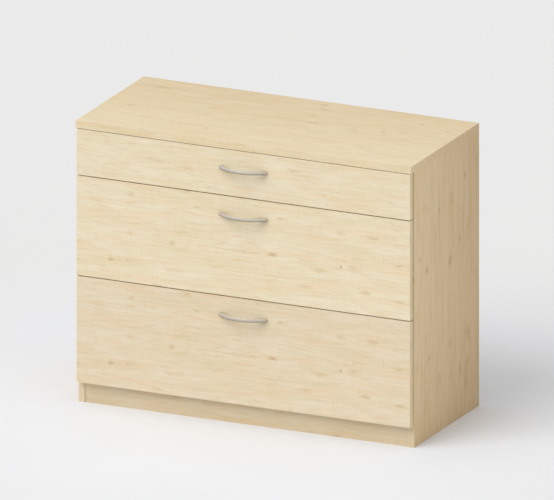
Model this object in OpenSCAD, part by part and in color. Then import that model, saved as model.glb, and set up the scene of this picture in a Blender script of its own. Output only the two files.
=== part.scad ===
// Three-drawer office chest in maple-effect board: a carcass of panels held by cam fittings,
// and three drawers on full-extension ball-bearing runners. All sizes are in millimetres.
// +Z is up, the fronts face -Y, and the origin is on the floor under the middle of the chest.

/* [Carcass] */
// Width over the two side panels
body_w = 1000; // [700:10:1400]
// Depth of the side panels
side_d = 420; // [410:5:600]
// Thickness of the side panels
side_t = 18; // [16:1:25]
// Thickness of the top panel
top_t = 20; // [18:1:38]
// Overhang of the top panel past the drawer fronts
top_proud = 1; // [0:0.5:5]
// Thickness of the bottom panel
bottom_t = 18; // [16:1:25]
// Thickness of the plinth panel
plinth_t = 18; // [16:1:22]
// Height of the plinth, up to the lower edge of the lowest front
plinth_h = 61; // [50:1:120]
// Setback of the plinth behind the front edges of the side panels
plinth_setback = 3; // [0:1:60]
// Thickness of the back panel
back_t = 8; // [3:1:10]
// Setback of the back panel from the rear edges
back_inset = 10; // [6:1:20]
// Depth of the grooves that hold the back panel
back_groove = 8; // [4:1:10]

/* [Drawer fronts] */
// Thickness of the drawer fronts
front_t = 18; // [16:1:22]
// Height of the upper drawer front
upper_front_h = 130; // [120:1:220]
// Height of the middle drawer front
middle_front_h = 282; // [180:1:400]
// Height of the lower drawer front
lower_front_h = 301; // [180:1:400]
// Distance of each front's ends from the carcass's outer faces
front_inset = 3; // [1:0.5:8]
// Gap between the fronts
front_gap = 3; // [2:0.5:6]
// Gap between the top panel and the upper front
top_gap = 2; // [1:0.5:6]
// Gap between the closed fronts and the edges of the side panels
front_air = 1; // [0.5:0.5:3]

/* [Handles] */
// Length of a bow handle
handle_l = 145; // [144:1:152]
// Distance between the handle's two screws
handle_pitch = 128; // [124:1:130]
// Projection of the handle from the front
handle_out = 32; // [24:1:40]
// Height of the handle's band
handle_h = 10; // [8:1:14]
// Thickness of the bow in its middle
handle_t = 6; // [4:0.5:8]
// Thickness of the handle's tips
handle_tip = 5; // [4:0.5:6]
// Half width of each foot, measured inwards from its screw
handle_foot = 8; // [6:0.5:10]
// Radius of the rounded outer edges
handle_edge = 3; // [1:0.25:3.75]
// Height of the handle below the top edge of its front
handle_drop = 51; // [40:1:60]

/* [Drawer boxes] */
// Thickness of the drawer box boards
box_t = 15; // [12:1:16]
// Thickness of the drawer bottoms
box_bottom_t = 8; // [4:1:10]
// Height of the drawer bottom above the lower edges of the box
bottom_raise = 6; // [4:1:10]
// Depth of the grooves that hold the drawer bottom
bottom_groove = 6; // [4:1:8]
// Height of a box above the lower edge of its front
box_lift = 12; // [8:1:20]
// Height of the top edge of a box below the top edge of its front
box_drop = 16; // [10:1:30]
// Clearance between the lowest box and the bottom panel
floor_clear = 6; // [3:1:12]
// Clearance between the boxes and the back panel
rear_air = 23; // [10:1:25]

/* [Runners] */
// Length of a runner
runner_l = 350; // [300:50:350]
// Height of a runner
runner_h = 45; // [42:1:46]
// Space that a runner fills between box and side panel
runner_w = 12.7; // [12.7:0.1:13.5]
// Height of a runner's middle above the lower edge of the box
runner_up = 40; // [30:1:45]
// Setback of a runner behind the front edge of the side panel
runner_setback = 2; // [1:0.5:5]
// Thickness of the runner's sheet steel
sheet = 1.2; // [1:0.1:1.3]
// Diameter of the bearing balls
ball_d = 3.2; // [2.8:0.1:3.4]
// Number of balls in a row
balls = 6; // [3:1:10]

/* [File rails] */
// Clearance between a file rail and the box wall: 8.5 sets the two rails 330 apart
rail_wall = 8.5; // [4:0.5:20]
// Thickness of a rail
rail_t = 3; // [2:0.5:4]
// Height of a rail
rail_h = 18; // [12:1:25]
// Depth of the slots in the box sides that hold the rails
rail_slot = 8; // [5:1:10]

/* [Hidden] */
$fn = 48;

// The three drawers, and the two sides of the chest
UPPER = 0;
MIDDLE = 1;
LOWER = 2;
DRAWERS = [UPPER, MIDDLE, LOWER];
LEFT = -1;
RIGHT = 1;

// Finishes
maple = [0.90, 0.84, 0.72];
box_board = [0.88, 0.87, 0.84];
satin_nickel = [0.80, 0.77, 0.73];
zinc_steel = [0.74, 0.76, 0.78];
beech = [0.80, 0.66, 0.47];
die_cast = [0.62, 0.63, 0.65];

// Clearances: round a pin or screw in its hole, in a groove, and at a face that only guides
fit = 0.05;
groove_air = 0.2;
end_air = 0.3;
// Overlap of a cutting shape past the face that it cuts
past = 1;

// Places across the chest
inner_w = body_w - 2 * side_t;
side_x = inner_w / 2;
front_w = body_w - 2 * front_inset;
box_w = inner_w - 2 * runner_w;
box_x = box_w / 2;
box_in_w = box_w - 2 * box_t;

// Places in depth: the origin is midway between the handles' tips and the rear edges
back_y = (side_d + front_air + front_t + handle_out) / 2;
side_y = back_y - side_d;
face_y = side_y - front_air - front_t;
board_y = face_y + front_t;
top_y = face_y - top_proud;
back_face_y = back_y - back_inset - back_t;
box_d = back_face_y - rear_air - board_y;
rail_pitch = box_d - 2 * box_t - rail_t - 2 * rail_wall;
runner_y = side_y + runner_setback;
plinth_y = side_y + plinth_setback;

// Heights of the fronts, from the plinth up
front_h = [upper_front_h, middle_front_h, lower_front_h];
lower_z = plinth_h;
middle_z = lower_z + lower_front_h + front_gap;
upper_z = middle_z + middle_front_h + front_gap;
front_z = [upper_z, middle_z, lower_z];
top_z = upper_z + upper_front_h + top_gap;

// Heights of the boxes and their runners
lift = [box_lift, box_lift, bottom_t + floor_clear];
box_z = [for (i = DRAWERS) front_z[i] + lift[i]];
box_h = [for (i = DRAWERS) front_h[i] - lift[i] - box_drop];
runner_z = [for (i = DRAWERS) box_z[i] + runner_up];
handle_z = [for (i = DRAWERS) front_z[i] + front_h[i] - handle_drop];

// Cam fittings and dowels: places from a panel's front and rear edges
cam_d = 15;
cam_h = 13.5;
cam_reach = 34;
cam_bolt_r = 3;
cam_head_r = 3.6;
cam_head_l = 5;
cam_thread_r = 2.5;
cam_thread_l = 11;
cam_hole_r = 4;
cam_edge = 50;
dowel_r = 4;
dowel_short = 12;
dowel_long = 18;
dowel_edge = 114;
plinth_dowel = 18;

// Screws
screw_r = 2;
pan_r = 3.5;
pan_taper = 0.6;
pan_h = 1.8;
csk_r = 4;
csk_h = 2.2;
recess_w = 0.9;
recess_l = 4;
recess_h = 1;
cabinet_screw_l = 13;
member_screw_l = 11;
front_screw_l = 28;
corner_screw_l = 45;
thread_in_handle = 7;
handle_hole = 8;
handle_screw_l = box_t + front_t + thread_in_handle;
runner_hole_start = 37;
runner_hole_pitch = 128;
runner_hole_end = 10;
runner_holes = [runner_hole_start : runner_hole_pitch : runner_l - runner_hole_end];
front_screw_edge = 60;
front_screw_x = box_in_w / 2 - front_screw_edge;
front_screw_z = 25;
corner_screw_z = 22;

// Runner section, measured from the side panel towards the box, and from mid-height
ball_air = 0.35;
race = ball_d + 2 * ball_air;
outer_lip = 1.4;
outer_depth = 9.9;
outer_in = runner_h / 2 - sheet;
middle_x = 4.2;
middle_depth = runner_w - sheet - end_air - middle_x;
middle_out = outer_in - race;
middle_in = middle_out - sheet;
middle_lip = 1.2;
inner_out = middle_in - race;
inner_x = 7.2;
cage_t = 0.5;
outer_cage_x = middle_x - end_air - cage_t;
outer_cage_w = 5;
outer_ball_x = 6;
inner_cage_x = middle_x + sheet + ball_air;
inner_cage_w = 5;
inner_ball_x = 8.2;
outer_ball_z = (outer_in + middle_out) / 2;
inner_ball_z = (middle_in + inner_out) / 2;
ball_hole_r = ball_d / 2 + 2 * fit;
cage_end = 14;
cage_air = 6;
cage_l = runner_l / 2 - 2 * cage_air;
cage_y = runner_y + runner_l / 4 + cage_air;
ball_pitch = (cage_l - 2 * cage_end) / (balls - 1);

// Arcs of the handle in plan, through the middle of the bow and through its ends
function arc_r(half, rise) = (half * half + rise * rise) / (2 * rise);
bow_r = arc_r(handle_l / 2, handle_out - handle_tip);
bow_in_r = arc_r(handle_pitch / 2 - handle_foot, handle_out - handle_t);
bow_ring = handle_out + past;

// Draws its children on the left of the chest and mirrored on the right
module both_sides() {
    children();
    mirror([1, 0, 0])
        children();
}

// Turns what is drawn for the left side to the side asked for
module on_side(side) {
    mirror([side == RIGHT ? 1 : 0, 0, 0])
        children();
}

// A block from one corner
module board(x, y, z, size) {
    translate([x, y, z])
        cube(size);
}

// The cam joints. X runs from the joint face along the bolt, Z out of the cam's bore
module cam_places() {
    both_sides() {
        for (y = [side_y + cam_edge, back_y - cam_edge]) {
            $board_t = side_t;
            translate([-side_x - side_t / 2, y, top_z])
                rotate([0, 90, 0])
                    children();
        }
        for (y = [side_y + cam_edge, back_y - cam_edge]) {
            $board_t = bottom_t;
            translate([-side_x, y, plinth_h + bottom_t / 2])
                rotate([180, 0, 0])
                    children();
        }
        let ($board_t = plinth_t)
            translate([-side_x, plinth_y + plinth_t / 2, plinth_h / 2])
                rotate([-90, 0, 0])
                    children();
    }
}

// The dowel joints. X runs from the joint face along the dowel's longer half
module dowel_places() {
    both_sides() {
        for (y = [side_y + dowel_edge, back_y - dowel_edge]) {
            translate([-side_x - side_t / 2, y, top_z])
                rotate([0, 90, 0])
                    children();
            translate([-side_x, y, plinth_h + bottom_t / 2])
                children();
        }
        for (z = [-plinth_dowel, plinth_dowel])
            translate([-side_x, plinth_y + plinth_t / 2, plinth_h / 2 + z])
                children();
    }
}

// A rod along X
module rod(from, to, r) {
    translate([from, 0, 0])
        rotate([0, 90, 0])
            cylinder(r = r, h = to - from);
}

module cam_bolt() {
    rod(-cam_thread_l, 0, cam_thread_r);
    rod(0, cam_reach, cam_bolt_r);
    rod(cam_reach - cam_head_l / 2, cam_reach + cam_head_l / 2, cam_head_r);
}

module cam_lock() {
    difference() {
        translate([cam_reach, 0, $board_t / 2 - cam_h])
            cylinder(r = cam_d / 2 - fit, h = cam_h);
        rod(0, cam_reach + cam_head_l / 2 + end_air, cam_head_r + fit);
        translate([cam_reach, 0, $board_t / 2])
            cross_recess();
    }
}

// The two bores and the blind thread hole that a cam joint needs
module cam_holes() {
    translate([cam_reach, 0, $board_t / 2 - cam_h])
        cylinder(r = cam_d / 2, h = cam_h + past);
    rod(0, cam_reach, cam_hole_r);
    rod(-cam_thread_l - end_air, 0, cam_thread_r + fit);
}

// Everything that is drilled for the carcass's own joints
module joint_holes() {
    cam_places()
        cam_holes();
    dowel_places()
        rod(-dowel_short - end_air, dowel_long + end_air, dowel_r + fit);
}

// Two crossed slots, cut down from the face at Z = 0
module cross_recess() {
    for (turn = [0, 90])
        rotate([0, 0, turn])
            translate([-recess_l / 2, -recess_w / 2, -recess_h])
                cube([recess_l, recess_w, recess_h + past]);
}

// A pan-head screw: the shank runs down from Z = 0 and the head stands up
module pan_screw(length) {
    difference() {
        union() {
            translate([0, 0, -length])
                cylinder(r = screw_r - fit, h = length);
            cylinder(r1 = pan_r, r2 = pan_r - pan_taper, h = pan_h);
        }
        translate([0, 0, pan_h])
            cross_recess();
    }
}

// A countersunk screw with its head flush at Z = 0
module csk_screw(length) {
    difference() {
        union() {
            translate([0, 0, -length])
                cylinder(r = screw_r - fit, h = length);
            translate([0, 0, -csk_h])
                cylinder(r1 = screw_r - fit, r2 = csk_r - fit, h = csk_h);
        }
        cross_recess();
    }
}

module csk_hole(length) {
    translate([0, 0, -length])
        cylinder(r = screw_r, h = length);
    translate([0, 0, -csk_h])
        cylinder(r1 = screw_r, r2 = csk_r, h = csk_h);
}

// Screws through a cabinet member into the side panel, for the left runner of drawer i.
// Z runs out of the side panel from its inner face
module cabinet_screw_places(i) {
    for (y = runner_holes)
        translate([-side_x, runner_y + y, runner_z[i]])
            rotate([0, 90, 0])
                children();
}

// Screws through a drawer member into the box side. Z runs out of the box side
module member_screw_places(i) {
    for (y = runner_holes)
        translate([-box_x, runner_y + y, runner_z[i]])
            rotate([0, -90, 0])
                children();
}

// Countersunk screws through the left box side into the ends of the subfront and back
module corner_screw_places(i) {
    for (y = [board_y + box_t / 2, board_y + box_d - box_t / 2])
        for (z = [corner_screw_z, box_h[i] - corner_screw_z])
            translate([-box_x, y, box_z[i] + z])
                rotate([0, -90, 0])
                    children();
}

// Screws from inside the box through the subfront into the front
module front_screw_places(i) {
    for (x = [-front_screw_x, front_screw_x])
        for (z = [front_screw_z, box_h[i] - front_screw_z])
            translate([x, board_y + box_t, box_z[i] + z])
                rotate([-90, 0, 0])
                    children();
}

// Handle screws from inside the box through the subfront and the front
module handle_screw_places(i) {
    for (x = [-handle_pitch / 2, handle_pitch / 2])
        translate([x, board_y + box_t, handle_z[i]])
            rotate([-90, 0, 0])
                children();
}

module side_panel(side) {
    color(maple)
        on_side(side)
            difference() {
                board(-side_x - side_t, side_y, 0, [side_t, side_d, top_z]);
                joint_holes();
                board(-side_x - back_groove, back_face_y, -past,
                      [back_groove + past, back_t + groove_air, top_z + 2 * past]);
                for (i = DRAWERS)
                    cabinet_screw_places(i)
                        translate([0, 0, -cabinet_screw_l])
                            cylinder(r = screw_r, h = cabinet_screw_l + past);
            }
}

module top_panel() {
    color(maple)
        difference() {
            board(-body_w / 2, top_y, top_z, [body_w, back_y - top_y, top_t]);
            joint_holes();
            board(-side_x - back_groove, back_face_y, top_z - past,
                  [inner_w + 2 * back_groove, back_t + groove_air, back_groove + past]);
        }
}

module bottom_panel() {
    color(maple)
        difference() {
            board(-side_x, side_y, plinth_h, [inner_w, back_face_y - side_y, bottom_t]);
            joint_holes();
        }
}

module back_panel() {
    hold = back_groove - end_air;
    color(maple)
        board(-side_x - hold, back_face_y, plinth_h,
              [inner_w + 2 * hold, back_t, top_z - plinth_h + hold]);
}

module plinth_panel() {
    color(maple)
        difference() {
            board(-side_x, plinth_y, 0, [inner_w, plinth_t, plinth_h]);
            joint_holes();
        }
}

module cam_locks() {
    color(die_cast)
        cam_places()
            cam_lock();
}

module cam_bolts() {
    color(zinc_steel)
        cam_places()
            cam_bolt();
}

module wood_dowels() {
    color(beech)
        dowel_places()
            rod(-dowel_short, dowel_long, dowel_r);
}

module runner_screws() {
    color(zinc_steel)
        both_sides()
            for (i = DRAWERS)
                cabinet_screw_places(i)
                    translate([0, 0, sheet])
                        pan_screw(cabinet_screw_l + sheet - end_air);
}

// Sweeps a section, drawn as (out from the side panel, up), along a runner
module along_runner(i, y, length) {
    translate([-side_x, y + length, runner_z[i]])
        rotate([90, 0, 0])
            linear_extrude(height = length)
                children();
}

// One block of a section and the same block below mid-height
module section_pair(x0, x1, z0, z1) {
    for (z = [z0, -z1])
        translate([x0, z])
            square([x1 - x0, z1 - z0]);
}

module cabinet_section() {
    translate([0, -runner_h / 2])
        square([sheet, runner_h]);
    section_pair(0, outer_depth, outer_in, outer_in + sheet);
    section_pair(outer_depth - sheet, outer_depth, outer_in - outer_lip, outer_in + sheet);
}

module intermediate_section() {
    translate([middle_x, -middle_out])
        square([sheet, 2 * middle_out]);
    section_pair(middle_x, middle_x + middle_depth, middle_in, middle_out);
    section_pair(middle_x + middle_depth - middle_lip, middle_x + middle_depth,
                 middle_in - middle_lip, middle_out);
}

module drawer_section() {
    translate([runner_w - sheet, -inner_out])
        square([sheet, 2 * inner_out]);
    section_pair(inner_x, runner_w, inner_out - sheet, inner_out);
}

module cabinet_member(i, side) {
    color(zinc_steel)
        on_side(side)
            difference() {
                along_runner(i, runner_y, runner_l)
                    cabinet_section();
                cabinet_screw_places(i)
                    translate([0, 0, -past])
                        cylinder(r = screw_r + fit, h = sheet + 2 * past);
            }
}

module intermediate_member(i, side) {
    color(zinc_steel)
        on_side(side)
            along_runner(i, runner_y, runner_l)
                intermediate_section();
}

module drawer_member(i, side) {
    color(zinc_steel)
        on_side(side)
            difference() {
                along_runner(i, runner_y, runner_l)
                    drawer_section();
                member_screw_places(i)
                    translate([0, 0, -past])
                        cylinder(r = screw_r + fit, h = sheet + 2 * past);
            }
}

// The balls of one runner stage, in two rows, or the holes for them
module ball_rows(i, x, z, r) {
    for (n = [0 : balls - 1])
        for (up = [-z, z])
            translate([-side_x + x, cage_y + cage_end + n * ball_pitch, runner_z[i] + up])
                sphere(r = r);
}

module ball_cage(i, x, width, z, ball_x) {
    difference() {
        along_runner(i, cage_y, cage_l) {
            translate([x, -z - cage_t / 2])
                square([cage_t, 2 * z + cage_t]);
            section_pair(x, x + width, z - cage_t / 2, z + cage_t / 2);
        }
        for (n = [0 : balls - 1])
            translate([-side_x + ball_x, cage_y + cage_end + n * ball_pitch, runner_z[i] - runner_h])
                cylinder(r = ball_hole_r, h = 2 * runner_h);
    }
}

module cabinet_ball_cages(i) {
    color(zinc_steel)
        both_sides() {
            ball_cage(i, outer_cage_x, outer_cage_w, outer_ball_z, outer_ball_x);
            ball_rows(i, outer_ball_x, outer_ball_z, ball_d / 2);
        }
}

module drawer_ball_cages(i) {
    color(zinc_steel)
        both_sides() {
            ball_cage(i, inner_cage_x, inner_cage_w, inner_ball_z, inner_ball_x);
            ball_rows(i, inner_ball_x, inner_ball_z, ball_d / 2);
        }
}

module drawer_front(i) {
    color(maple)
        difference() {
            board(-front_w / 2, face_y, front_z[i], [front_w, front_t, front_h[i]]);
            handle_screw_places(i)
                translate([0, 0, -box_t - front_t - past])
                    cylinder(r = screw_r + end_air, h = front_t + 2 * past);
            front_screw_places(i)
                translate([0, 0, -front_screw_l - end_air])
                    cylinder(r = screw_r, h = front_screw_l);
        }
}

// A bow in plan: a ring with rounded outer edges, hollowed by the inner arc, cut flat where it
// meets the front, and with each end rounded as seen from the front
module handle(i) {
    color(satin_nickel)
        translate([0, face_y, handle_z[i]])
            difference() {
                intersection() {
                    translate([0, bow_r - handle_out, 0])
                        bow_band();
                    bow_outline();
                }
                translate([0, bow_in_r - handle_out + handle_t, -handle_h])
                    cylinder(r = bow_in_r, h = 2 * handle_h, $fn = 96);
                for (x = [-handle_pitch / 2, handle_pitch / 2])
                    translate([x, 0, 0])
                        rotate([90, 0, 0])
                            translate([0, 0, -past])
                                cylinder(r = screw_r, h = handle_hole + past);
            }
}

module bow_band() {
    rotate_extrude($fn = 96)
        translate([bow_r - bow_ring, -handle_h / 2]) {
            square([bow_ring - handle_edge, handle_h]);
            translate([0, handle_edge])
                square([bow_ring, handle_h - 2 * handle_edge]);
            for (z = [handle_edge, handle_h - handle_edge])
                translate([bow_ring - handle_edge, z])
                    circle(r = handle_edge);
        }
}

module bow_outline() {
    straight = handle_l / 2 - handle_h / 2;
    rotate([90, 0, 0])
        linear_extrude(height = handle_out + past) {
            square([2 * straight, handle_h], center = true);
            for (x = [-straight, straight])
                translate([x, 0])
                    circle(d = handle_h);
        }
}

module drawer_subfront(i) {
    color(box_board)
        difference() {
            board(-box_in_w / 2, board_y, box_z[i], [box_in_w, box_t, box_h[i]]);
            bottom_slot(i);
            handle_screw_places(i)
                translate([0, 0, -box_t - past])
                    cylinder(r = screw_r + end_air, h = box_t + 2 * past);
            front_screw_places(i)
                csk_hole(front_screw_l);
            both_sides()
                corner_screw_places(i)
                    csk_hole(corner_screw_l + end_air);
        }
}

// The groove round the box for its bottom
module bottom_slot(i) {
    hold = bottom_groove;
    board(-box_in_w / 2 - hold, board_y + box_t - hold, box_z[i] + bottom_raise,
          [box_in_w + 2 * hold, box_d - 2 * box_t + 2 * hold, box_bottom_t + groove_air]);
}

// The slots in the top edges of the box sides, where the file rails sit
module rail_slots(i) {
    rail_places(i)
        cube([box_in_w + 2 * rail_slot, rail_t + groove_air, 2 * rail_h], center = true);
}

module rail_places(i) {
    mid_y = board_y + box_d / 2;
    for (y = [mid_y - rail_pitch / 2, mid_y + rail_pitch / 2])
        translate([0, y, box_z[i] + box_h[i]])
            children();
}

module box_side(i, side) {
    color(box_board)
        on_side(side)
            difference() {
                board(-box_x, board_y, box_z[i], [box_t, box_d, box_h[i]]);
                bottom_slot(i);
                if (i != UPPER)
                    rail_slots(i);
                corner_screw_places(i)
                    csk_hole(corner_screw_l);
                member_screw_places(i)
                    translate([0, 0, -member_screw_l])
                        cylinder(r = screw_r, h = member_screw_l + past);
            }
}

module box_back(i) {
    color(box_board)
        difference() {
            board(-box_in_w / 2, board_y + box_d - box_t, box_z[i], [box_in_w, box_t, box_h[i]]);
            bottom_slot(i);
            both_sides()
                corner_screw_places(i)
                    csk_hole(corner_screw_l + end_air);
        }
}

module box_bottom(i) {
    hold = bottom_groove - end_air;
    color(box_board)
        board(-box_in_w / 2 - hold, board_y + box_t - hold, box_z[i] + bottom_raise,
              [box_in_w + 2 * hold, box_d - 2 * box_t + 2 * hold, box_bottom_t]);
}

module drawer_screws(i) {
    color(zinc_steel) {
        handle_screw_places(i)
            pan_screw(handle_screw_l);
        front_screw_places(i)
            csk_screw(front_screw_l);
        both_sides() {
            corner_screw_places(i)
                csk_screw(corner_screw_l);
            member_screw_places(i)
                translate([0, 0, sheet])
                    pan_screw(member_screw_l + sheet - end_air);
        }
    }
}

module file_rails(i) {
    length = box_in_w + 2 * rail_slot - 2 * end_air;
    color(zinc_steel)
        rail_places(i)
            translate([-length / 2, -rail_t / 2, -rail_h])
                cube([length, rail_t, rail_h]);
}

side_panel(LEFT);  // left_side_panel
side_panel(RIGHT);  // right_side_panel
top_panel();
bottom_panel();
back_panel();
plinth_panel();
cam_locks();
cam_bolts();
wood_dowels();
runner_screws();
cabinet_member(UPPER, LEFT);  // upper_left_cabinet_member
cabinet_member(UPPER, RIGHT);  // upper_right_cabinet_member
cabinet_member(MIDDLE, LEFT);  // middle_left_cabinet_member
cabinet_member(MIDDLE, RIGHT);  // middle_right_cabinet_member
cabinet_member(LOWER, LEFT);  // lower_left_cabinet_member
cabinet_member(LOWER, RIGHT);  // lower_right_cabinet_member
intermediate_member(UPPER, LEFT);  // upper_left_intermediate_member
intermediate_member(UPPER, RIGHT);  // upper_right_intermediate_member
intermediate_member(MIDDLE, LEFT);  // middle_left_intermediate_member
intermediate_member(MIDDLE, RIGHT);  // middle_right_intermediate_member
intermediate_member(LOWER, LEFT);  // lower_left_intermediate_member
intermediate_member(LOWER, RIGHT);  // lower_right_intermediate_member
cabinet_ball_cages(UPPER);  // upper_cabinet_ball_cages
cabinet_ball_cages(MIDDLE);  // middle_cabinet_ball_cages
cabinet_ball_cages(LOWER);  // lower_cabinet_ball_cages
drawer_ball_cages(UPPER);  // upper_drawer_ball_cages
drawer_ball_cages(MIDDLE);  // middle_drawer_ball_cages
drawer_ball_cages(LOWER);  // lower_drawer_ball_cages
drawer_front(UPPER);  // upper_front
handle(UPPER);  // upper_handle
drawer_subfront(UPPER);  // upper_subfront
box_side(UPPER, LEFT);  // upper_box_left
box_side(UPPER, RIGHT);  // upper_box_right
box_back(UPPER);  // upper_box_back
box_bottom(UPPER);  // upper_box_bottom
drawer_member(UPPER, LEFT);  // upper_left_drawer_member
drawer_member(UPPER, RIGHT);  // upper_right_drawer_member
drawer_screws(UPPER);  // upper_screws
drawer_front(MIDDLE);  // middle_front
handle(MIDDLE);  // middle_handle
drawer_subfront(MIDDLE);  // middle_subfront
box_side(MIDDLE, LEFT);  // middle_box_left
box_side(MIDDLE, RIGHT);  // middle_box_right
box_back(MIDDLE);  // middle_box_back
box_bottom(MIDDLE);  // middle_box_bottom
drawer_member(MIDDLE, LEFT);  // middle_left_drawer_member
drawer_member(MIDDLE, RIGHT);  // middle_right_drawer_member
drawer_screws(MIDDLE);  // middle_screws
file_rails(MIDDLE);  // middle_file_rails
drawer_front(LOWER);  // lower_front
handle(LOWER);  // lower_handle
drawer_subfront(LOWER);  // lower_subfront
box_side(LOWER, LEFT);  // lower_box_left
box_side(LOWER, RIGHT);  // lower_box_right
box_back(LOWER);  // lower_box_back
box_bottom(LOWER);  // lower_box_bottom
drawer_member(LOWER, LEFT);  // lower_left_drawer_member
drawer_member(LOWER, RIGHT);  // lower_right_drawer_member
drawer_screws(LOWER);  // lower_screws
file_rails(LOWER);  // lower_file_rails
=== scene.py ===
"""Three-drawer office chest in maple-effect board: surfaces, handles and studio.

Every board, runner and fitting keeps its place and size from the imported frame. This script
finishes their surfaces, builds the three bow handles and lights the chest in a plain studio.
Lengths are in metres unless a name ends in _mm. The fronts face -Y and +Z is up.
"""

import logging
from dataclasses import dataclass, field, replace
from enum import Enum
from math import cos, pi, radians, sin, sqrt

import bmesh
import bpy
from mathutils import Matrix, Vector


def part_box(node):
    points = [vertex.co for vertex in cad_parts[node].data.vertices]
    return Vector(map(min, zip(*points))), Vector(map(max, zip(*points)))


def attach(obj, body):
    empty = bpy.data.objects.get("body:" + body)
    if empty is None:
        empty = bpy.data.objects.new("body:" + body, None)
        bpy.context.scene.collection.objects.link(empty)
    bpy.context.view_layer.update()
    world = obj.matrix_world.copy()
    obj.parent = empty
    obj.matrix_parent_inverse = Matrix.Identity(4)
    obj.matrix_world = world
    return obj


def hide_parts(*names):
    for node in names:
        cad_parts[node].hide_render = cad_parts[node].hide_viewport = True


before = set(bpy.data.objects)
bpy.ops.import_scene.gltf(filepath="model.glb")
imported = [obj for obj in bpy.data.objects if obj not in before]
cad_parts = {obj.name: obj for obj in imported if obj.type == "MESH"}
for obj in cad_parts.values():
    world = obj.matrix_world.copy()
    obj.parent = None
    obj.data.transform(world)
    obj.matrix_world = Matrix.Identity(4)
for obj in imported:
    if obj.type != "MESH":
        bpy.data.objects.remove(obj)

log = logging.getLogger("chest")

MM = 0.001
# A face looks along an axis when its normal has more than this share on that axis.
LOOKS_ALONG = 0.7

Pair = tuple[float, float]
Point = tuple[float, float, float]
Colour = tuple[float, float, float, float]
Material = bpy.types.Material
Tree = bpy.types.NodeTree
Output = bpy.types.NodeSocket
Sockets = dict[int | str, object]


class Axis(Enum):
    """The axes of the chest's frame, each as its place in a vector."""

    X = 0
    Y = 1
    Z = 2


class Cut(Enum):
    """How a board lies: the axes of its grain, its width and its thickness."""

    FACING = (Axis.X, Axis.Z, Axis.Y)
    FLAT = (Axis.X, Axis.Y, Axis.Z)
    SIDE = (Axis.Z, Axis.Y, Axis.X)


class Banding(Enum):
    """How the grain runs in the banding of a board's ends."""

    LENGTHWISE = "lengthwise"
    UPRIGHT = "upright"


class Level(Enum):
    """The three drawers, from the top down."""

    UPPER = "upper"
    MIDDLE = "middle"
    LOWER = "lower"


class Side(Enum):
    """The two sides of the chest, seen from the front."""

    LEFT = "left"
    RIGHT = "right"


def linear(hex_colour: str) -> Colour:
    """Turn an sRGB hex colour into the linear values that a shader takes.

    Args:
        hex_colour: The colour as written, such as "#E7D7B9".

    Returns:
        Red, green, blue and an alpha of 1.
    """
    parts = (int(hex_colour[i:i + 2], 16) / 255 for i in (1, 3, 5))
    red, green, blue = (
        p / 12.92 if p <= 0.04045 else ((p + 0.055) / 1.055) ** 2.4 for p in parts
    )
    return red, green, blue, 1.0


def add_node(
    tree: Tree, kind: str, sockets: Sockets | None = None, **settings: object
) -> bpy.types.Node:
    """Add one node with its settings, its values and its links.

    Args:
        tree: The node tree that takes the node.
        kind: Blender's name for the node's type.
        sockets: What goes into each input, by number or name: a value or an output.
        **settings: The node's own options.

    Returns:
        The new node.
    """
    node = tree.nodes.new(kind)
    for option, value in settings.items():
        setattr(node, option, value)
    for key, value in (sockets or {}).items():
        if isinstance(value, Output):
            tree.links.new(value, node.inputs[key])
        else:
            node.inputs[key].default_value = value
    return node


def new_material(name: str) -> tuple[Material, Tree]:
    """Start a material with an empty node tree.

    Args:
        name: The material's name.

    Returns:
        The material and its node tree.
    """
    material = bpy.data.materials.new(name)
    material.use_nodes = True
    material.node_tree.nodes.clear()
    return material, material.node_tree


def show_surface(tree: Tree, sockets: Sockets) -> None:
    """End a material with one surface shader.

    Args:
        tree: The material's node tree.
        sockets: What goes into the shader's inputs.
    """
    shader = add_node(tree, "ShaderNodeBsdfPrincipled", sockets)
    add_node(tree, "ShaderNodeOutputMaterial", {"Surface": shader.outputs[0]})


def lay_over(tree: Tree, under: object, *layers: tuple[str, Output]) -> Output:
    """Lay tints over a colour, one after the other.

    Args:
        tree: The material's node tree.
        under: The colour below, as a value or an output.
        *layers: The hex colour of each tint, with how much of it shows.

    Returns:
        The mixed colour.
    """
    for tint, strength in layers:
        under = add_node(
            tree, "ShaderNodeMix", {0: strength, 6: under, 7: linear(tint)}, data_type="RGBA"
        ).outputs[2]
    return under


def local_place(
    tree: Tree, order: tuple[Axis, Axis, Axis] = (Axis.X, Axis.Y, Axis.Z)
) -> Output:
    """Give a point's place in the frame, with its axes in the order that a pattern needs.

    Args:
        tree: The material's node tree.
        order: The axes that come first, second and third.

    Returns:
        The reordered place, in metres.
    """
    space = add_node(tree, "ShaderNodeTexCoord")
    spot = add_node(tree, "ShaderNodeSeparateXYZ", {0: space.outputs["Object"]})
    first, second, third = (spot.outputs[axis.value] for axis in order)
    return add_node(tree, "ShaderNodeCombineXYZ", {0: first, 1: second, 2: third}).outputs[0]


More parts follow.
